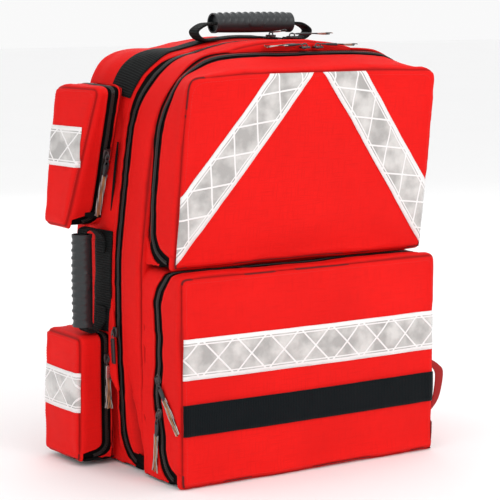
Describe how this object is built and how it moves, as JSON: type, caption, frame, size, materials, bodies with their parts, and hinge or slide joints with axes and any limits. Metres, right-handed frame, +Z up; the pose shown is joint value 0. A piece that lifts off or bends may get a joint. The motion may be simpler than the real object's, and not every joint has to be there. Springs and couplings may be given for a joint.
{
  "type": "rescue backpack",
  "caption": "Soft red rescue backpack with a zipped lid, two front pockets, side pouches, reflective tapes, two grips and padded shoulder straps.",
  "frame": {"origin": "on the ground, under the middle of the main compartment's rear half", "axes": "+Z up, +X to the right seen from the front, +Y towards the wearer's back"},
  "size_m": [0.482, 0.3483, 0.5655],
  "materials": {
    "red_cordura": "woven, matt",
    "black_webbing": "ribbed webbing, matt",
    "base_cloth": "coated cloth, matt",
    "zip_tape": "woven tape with moulded teeth",
    "pad_mesh": "spacer mesh",
    "lining": "woven lining",
    "loop_tape": "loop pile",
    "reflective": "prismatic reflective film",
    "grip_rubber": "moulded, satin",
    "black_plastic": "moulded, satin",
    "slider_metal": "black lacquer",
    "pull_cord": "striped woven ribbon"
  },
  "bodies": {
    "pack": {"back_panel": "red_cordura", "tray_gusset": "red_cordura", "tray_base": "base_cloth", "frame_sheet": "black_plastic", "divider_shelf": "lining", "main_zip_rear_tape": "zip_tape", "carry_band": "black_webbing", "pouch_upper_left_tray": "red_cordura", "pouch_lower_left_tray": "red_cordura", "pouch_upper_right_tray": "red_cordura", "pouch_lower_right_tray": "red_cordura", "back_pad_left": "pad_mesh", "back_pad_right": "pad_mesh"},
    "lid": {"lid_panel": "red_cordura", "lid_gusset": "red_cordura", "main_zip_front_tape": "zip_tape", "upper_pocket_frame": "red_cordura", "lower_pocket_frame": "red_cordura"},
    "upper_flap": {"upper_flap": "red_cordura", "reflective_tape_left": "reflective", "reflective_tape_right": "reflective"},
    "lower_flap": {"lower_flap": "red_cordura", "reflective_tape_lower": "reflective", "name_loop_strip": "loop_tape"},
    "pouch_upper_left_flap": {"pouch_upper_left_flap": "red_cordura"},
    "pouch_upper_right_flap": {"pouch_upper_right_flap": "red_cordura"},
    "pouch_lower_left_flap": {"pouch_lower_left_flap": "red_cordura"},
    "pouch_lower_right_flap": {"pouch_lower_right_flap": "red_cordura"},
    "top_handle": {"top_handle_webbing": "black_webbing", "top_grip": "grip_rubber"},
    "side_handle": {"side_handle_webbing": "black_webbing", "side_grip": "grip_rubber"},
    "strap_left": {"shoulder_pad_left": "pad_mesh", "ladder_lock_left": "black_plastic", "strap_webbing_left": "black_webbing"},
    "strap_right": {"shoulder_pad_right": "pad_mesh", "ladder_lock_right": "black_plastic", "strap_webbing_right": "black_webbing"},
    "main_top_left_slider": {"main_top_left_slider": "slider_metal"},
    "main_top_left_pull": {"main_top_left_pull": "pull_cord"},
    "main_top_right_slider": {"main_top_right_slider": "slider_metal"},
    "main_top_right_pull": {"main_top_right_pull": "pull_cord"},
    "main_side_slider": {"main_side_slider": "slider_metal"},
    "main_side_pull": {"main_side_pull": "pull_cord"},
    "upper_left_slider": {"upper_left_slider": "slider_metal"},
    "upper_left_pull": {"upper_left_pull": "pull_cord"},
    "upper_right_slider": {"upper_right_slider": "slider_metal"},
    "upper_right_pull": {"upper_right_pull": "pull_cord"},
    "lower_high_slider": {"lower_high_slider": "slider_metal"},
    "lower_high_pull": {"lower_high_pull": "pull_cord"},
    "lower_low_slider": {"lower_low_slider": "slider_metal"},
    "lower_low_pull": {"lower_low_pull": "pull_cord"},
    "pouch_upper_left_slider": {"pouch_upper_left_slider": "slider_metal"},
    "pouch_upper_left_pull": {"pouch_upper_left_pull": "pull_cord"},
    "pouch_lower_left_slider": {"pouch_lower_left_slider": "slider_metal"},
    "pouch_lower_left_pull": {"pouch_lower_left_pull": "pull_cord"},
    "pouch_upper_right_slider": {"pouch_upper_right_slider": "slider_metal"},
    "pouch_upper_right_pull": {"pouch_upper_right_pull": "pull_cord"},
    "pouch_lower_right_slider": {"pouch_lower_right_slider": "slider_metal"},
    "pouch_lower_right_pull": {"pouch_lower_right_pull": "pull_cord"}
  },
  "joints": [
    {"name": "lid_hinge", "type": "hinge", "parent": "pack", "child": "lid", "pos_m": [0, -0.105, 0.002], "axis": [1, 0, 0], "range_deg": [0, 60]},
    {"name": "upper_flap_hinge", "type": "hinge", "parent": "lid", "child": "upper_flap", "pos_m": [0, -0.1698, 0.266], "axis": [1, 0, 0], "range_deg": [0, 80]},
    {"name": "lower_flap_hinge", "type": "hinge", "parent": "lid", "child": "lower_flap", "pos_m": [0, -0.1943, 0.004], "axis": [1, 0, 0], "range_deg": [0, 90]},
    {"name": "pouch_upper_left_hinge", "type": "hinge", "parent": "pack", "child": "pouch_upper_left_flap", "pos_m": [-0.238, 0, 0.3032], "axis": [0, -1, 0], "range_deg": [0, 95]},
    {"name": "pouch_upper_right_hinge", "type": "hinge", "parent": "pack", "child": "pouch_upper_right_flap", "pos_m": [0.238, 0, 0.3032], "axis": [0, 1, 0], "range_deg": [0, 95]},
    {"name": "pouch_lower_left_hinge", "type": "hinge", "parent": "pack", "child": "pouch_lower_left_flap", "pos_m": [-0.238, 0, 0.0092], "axis": [0, -1, 0], "range_deg": [0, 95]},
    {"name": "pouch_lower_right_hinge", "type": "hinge", "parent": "pack", "child": "pouch_lower_right_flap", "pos_m": [0.238, 0, 0.0092], "axis": [0, 1, 0], "range_deg": [0, 95]},
    {"name": "top_handle_swing", "type": "hinge", "parent": "pack", "child": "top_handle", "pos_m": [0, -0.06, 0.53246], "axis": [1, 0, 0], "range_deg": [-20, 20]},
    {"name": "side_handle_swing", "type": "hinge", "parent": "pack", "child": "side_handle", "pos_m": [-0.20629, -0.022, 0.235], "axis": [0, 0, 1], "range_deg": [-55, 55]},
    {"name": "strap_left_swing", "type": "hinge", "parent": "pack", "child": "strap_left", "pos_m": [-0.052, 0.05137, 0.462], "axis": [-0.1951, 0.0294, -0.9803], "range_deg": [-20, 20]},
    {"name": "strap_right_swing", "type": "hinge", "parent": "pack", "child": "strap_right", "pos_m": [0.052, 0.05137, 0.462], "axis": [0.1951, 0.0294, -0.9803], "range_deg": [-20, 20]},
    {"name": "main_top_left_slide", "type": "slide", "parent": "pack", "child": "main_top_left_slider", "axis": [-1, 0, 0], "range_m": [0, 0.03]},
    {"name": "main_top_left_pull_hinge", "type": "hinge", "parent": "main_top_left_slider", "child": "main_top_left_pull", "pos_m": [0.008, -0.093, 0.53902], "axis": [-1, 0, 0], "range_deg": [0, 90]},
    {"name": "main_top_right_slide", "type": "slide", "parent": "pack", "child": "main_top_right_slider", "axis": [0.9947, 0, -0.1025], "range_m": [0, 0.03]},
    {"name": "main_top_right_pull_hinge", "type": "hinge", "parent": "main_top_right_slider", "child": "main_top_right_pull", "pos_m": [0.04, -0.093, 0.53708], "axis": [0, -1, 0], "range_deg": [0, 90]},
    {"name": "main_side_slide", "type": "slide", "parent": "pack", "child": "main_side_slider", "axis": [0, 0, -1], "range_m": [0, 0.045]},
    {"name": "main_side_pull_hinge", "type": "hinge", "parent": "main_side_slider", "child": "main_side_pull", "pos_m": [-0.20165, -0.055, 0.172], "axis": [0, 1, 0], "range_deg": [0, 90]},
    {"name": "upper_left_slide", "type": "slide", "parent": "lid", "child": "upper_left_slider", "axis": [-1, 0, 0], "range_m": [0, 0.06]},
    {"name": "upper_left_pull_hinge", "type": "hinge", "parent": "upper_left_slider", "child": "upper_left_pull", "pos_m": [0.014, -0.15874, 0.5261], "axis": [0, 1, 0], "range_deg": [0, 90]},
    {"name": "upper_right_slide", "type": "slide", "parent": "lid", "child": "upper_right_slider", "axis": [1, 0, 0], "range_m": [0, 0.06]},
    {"name": "upper_right_pull_hinge", "type": "hinge", "parent": "upper_right_slider", "child": "upper_right_pull", "pos_m": [0.034, -0.15874, 0.5261], "axis": [0, -1, 0], "range_deg": [0, 90]},
    {"name": "lower_high_slide", "type": "slide", "parent": "lid", "child": "lower_high_slider", "axis": [0, 0, 1], "range_m": [0, 0.08]},
    {"name": "lower_high_pull_hinge", "type": "hinge", "parent": "lower_high_slider", "child": "lower_high_pull", "pos_m": [-0.1941, -0.1493, 0.128], "axis": [0, 0.788, -0.6157], "range_deg": [0, 90]},
    {"name": "lower_low_slide", "type": "slide", "parent": "lid", "child": "lower_low_slider", "axis": [0, 0, 1], "range_m": [0, 0.018]},
    {"name": "lower_low_pull_hinge", "type": "hinge", "parent": "lower_low_slider", "child": "lower_low_pull", "pos_m": [-0.1941, -0.1513, 0.086], "axis": [0, 0.9903, 0.1392], "range_deg": [0, 90]},
    {"name": "pouch_upper_left_slide", "type": "slide", "parent": "pack", "child": "pouch_upper_left_slider", "axis": [0, -0.3151, 0.9491], "range_m": [0, 0.04]},
    {"name": "pouch_upper_left_pull_hinge", "type": "hinge", "parent": "pouch_upper_left_slider", "child": "pouch_upper_left_pull", "pos_m": [-0.202, -0.04606, 0.39248], "axis": [-1, 0, 0], "range_deg": [0, 90]},
    {"name": "pouch_lower_left_slide", "type": "slide", "parent": "pack", "child": "pouch_lower_left_slider", "axis": [0, 0, -1], "range_m": [0, 0.05]},
    {"name": "pouch_lower_left_pull_hinge", "type": "hinge", "parent": "pouch_lower_left_slider", "child": "pouch_lower_left_pull", "pos_m": [-0.202, -0.0421, 0.136], "axis": [-1, 0, 0], "range_deg": [0, 60]},
    {"name": "pouch_upper_right_slide", "type": "slide", "parent": "pack", "child": "pouch_upper_right_slider", "axis": [0, -0.3151, 0.9491], "range_m": [0, 0.04]},
    {"name": "pouch_upper_right_pull_hinge", "type": "hinge", "parent": "pouch_upper_right_slider", "child": "pouch_upper_right_pull", "pos_m": [0.202, -0.04606, 0.39248], "axis": [-1, 0, 0], "range_deg": [0, 90]},
    {"name": "pouch_lower_right_slide", "type": "slide", "parent": "pack", "child": "pouch_lower_right_slider", "axis": [0, 0, -1], "range_m": [0, 0.05]},
    {"name": "pouch_lower_right_pull_hinge", "type": "hinge", "parent": "pouch_lower_right_slider", "child": "pouch_lower_right_pull", "pos_m": [0.202, -0.0421, 0.136], "axis": [-1, 0, 0], "range_deg": [0, 90]}
  ]
}
